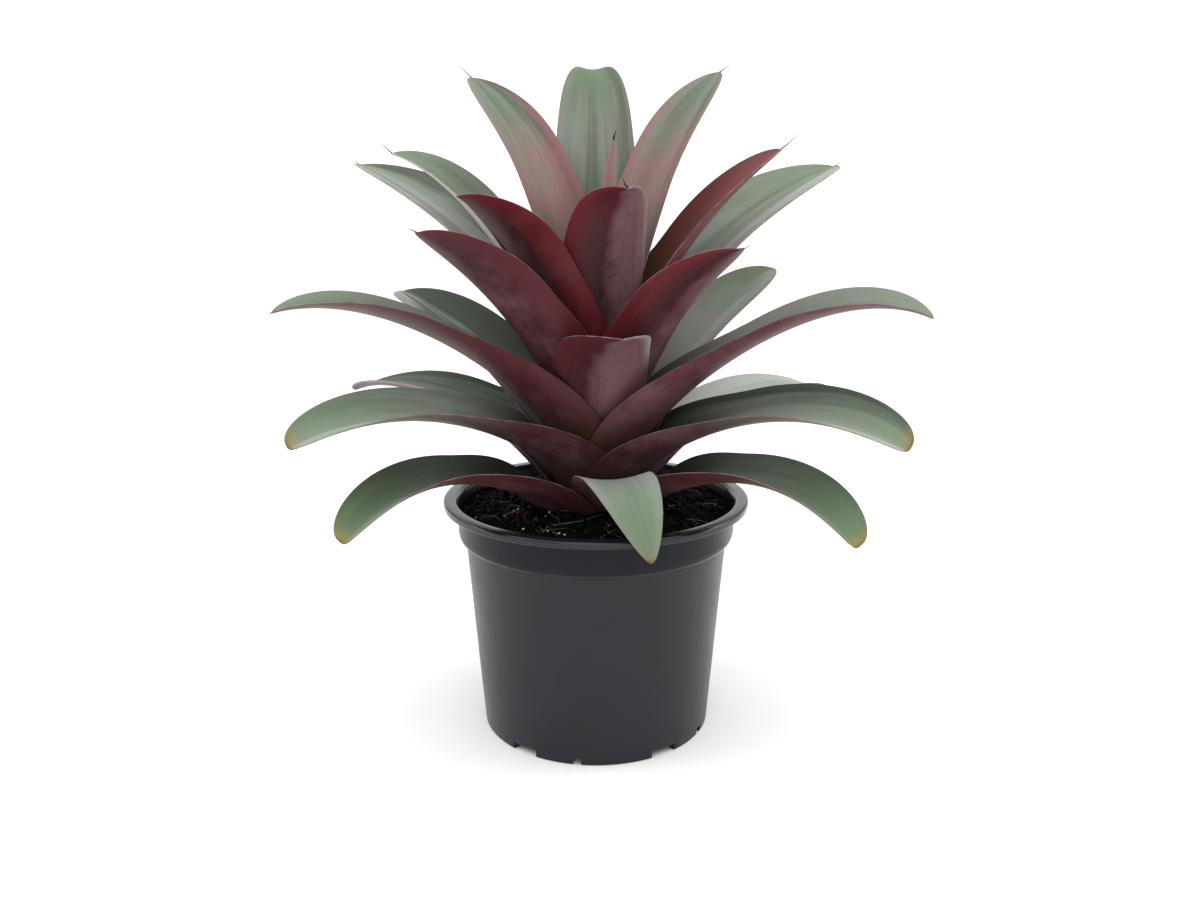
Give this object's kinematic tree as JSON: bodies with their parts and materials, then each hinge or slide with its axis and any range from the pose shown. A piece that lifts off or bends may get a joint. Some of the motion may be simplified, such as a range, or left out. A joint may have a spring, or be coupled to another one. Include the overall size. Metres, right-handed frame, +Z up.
{
  "type": "potted bromeliad",
  "caption": "Bromeliad rosette of broad arching strap leaves, grey-green above and wine red beneath, on a short stem in potting mix, in a round black plastic nursery pot.",
  "frame": {"origin": "centre of the pot's flat underside, on the ground it stands on", "axes": "+Z up along the pot's axis; -Y towards the viewer of the picture, +X to the viewer's right"},
  "size_m": [0.3445, 0.2497, 0.3747],
  "materials": {
    "pot": "charcoal black moulded polypropylene, fine satin grain",
    "potting_mix": "loose damp peat with perlite, bark crumbs and root fibres",
    "stem": "dull olive plant tissue with leaf scars",
    "leaf": "leathery, low sheen, grey-green and silvery above, maroon with a grey bloom beneath"
  },
  "bodies": {
    "root": {"pot": "pot", "potting_mix": "potting_mix", "stem": "stem", "leaf_01": "leaf", "leaf_02": "leaf", "leaf_03": "leaf", "leaf_04": "leaf", "leaf_05": "leaf", "leaf_06": "leaf", "leaf_07": "leaf", "leaf_08": "leaf", "leaf_09": "leaf", "leaf_10": "leaf", "leaf_11": "leaf", "leaf_12": "leaf", "leaf_13": "leaf", "leaf_14": "leaf", "leaf_15": "leaf", "leaf_16": "leaf", "leaf_17": "leaf", "leaf_18": "leaf", "leaf_19": "leaf", "leaf_20": "leaf", "leaf_21": "leaf", "leaf_22": "leaf", "leaf_23": "leaf", "leaf_24": "leaf", "leaf_25": "leaf", "leaf_26": "leaf", "leaf_27": "leaf"}
  },
  "joints": []
}
